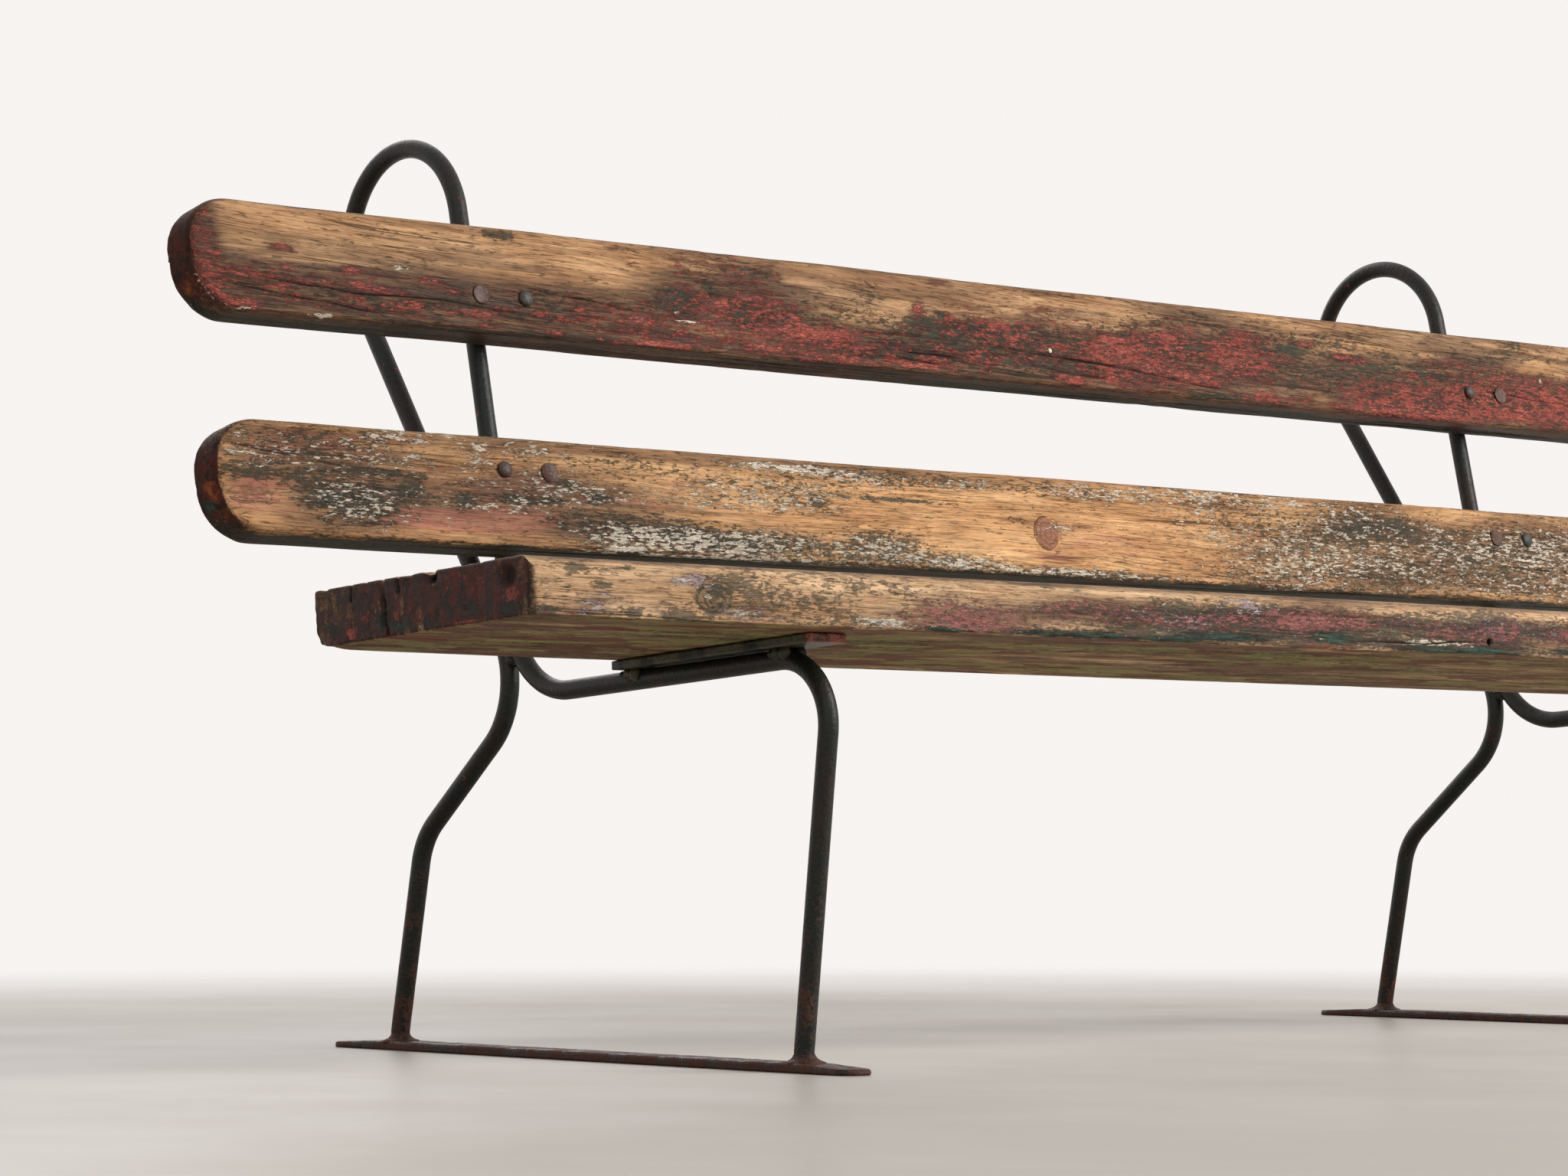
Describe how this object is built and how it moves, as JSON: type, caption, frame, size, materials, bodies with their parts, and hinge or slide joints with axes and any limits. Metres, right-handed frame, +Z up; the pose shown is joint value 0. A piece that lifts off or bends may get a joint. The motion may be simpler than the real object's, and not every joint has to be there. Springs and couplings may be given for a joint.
{
  "type": "iron and wood bench",
  "caption": "Long rustic bench with a thick seat plank and round-ended back slats on supports of bent round iron bar that stand on flat runners.",
  "frame": {"origin": "middle of the bench's footprint, on the floor", "axes": "+X along the bench, -Y towards the sitter's front, +Z up"},
  "size_m": [2, 0.727, 0.834],
  "materials": {
    "seat_wood": "bare weathered wood with worn pink, red and teal paint",
    "top_slat_wood": "bare weathered wood with flaking coral red over dark green paint",
    "lower_slat_wood": "bare weathered wood flecked with cream and dark green paint",
    "bar_iron": "worn green-black paint over brown iron",
    "runner_iron": "rust-brown iron",
    "strap_iron": "worn dark paint over rust",
    "clip_iron": "worn dark paint over rust",
    "bolt_steel": "rusted, domed head",
    "nut_steel": "rusted",
    "screw_steel": "rusted"
  },
  "bodies": {
    "root": {"left_bar_frame": "bar_iron", "left_lower_clip": "clip_iron", "left_lower_inner_bolt": "bolt_steel", "left_lower_inner_nut": "nut_steel", "left_lower_outer_bolt": "bolt_steel", "left_lower_outer_nut": "nut_steel", "left_runner": "runner_iron", "left_seat_screw_1": "screw_steel", "left_seat_screw_2": "screw_steel", "left_seat_screw_3": "screw_steel", "left_seat_screw_4": "screw_steel", "left_seat_strap": "strap_iron", "left_top_clip": "clip_iron", "left_top_inner_bolt": "bolt_steel", "left_top_inner_nut": "nut_steel", "left_top_outer_bolt": "bolt_steel", "left_top_outer_nut": "nut_steel", "lower_back_slat": "lower_slat_wood", "right_bar_frame": "bar_iron", "right_lower_clip": "clip_iron", "right_lower_inner_bolt": "bolt_steel", "right_lower_inner_nut": "nut_steel", "right_lower_outer_bolt": "bolt_steel", "right_lower_outer_nut": "nut_steel", "right_runner": "runner_iron", "right_seat_screw_1": "screw_steel", "right_seat_screw_2": "screw_steel", "right_seat_screw_3": "screw_steel", "right_seat_screw_4": "screw_steel", "right_seat_strap": "strap_iron", "right_top_clip": "clip_iron", "right_top_inner_bolt": "bolt_steel", "right_top_inner_nut": "nut_steel", "right_top_outer_bolt": "bolt_steel", "right_top_outer_nut": "nut_steel", "seat_plank": "seat_wood", "top_back_slat": "top_slat_wood"}
  },
  "joints": []
}
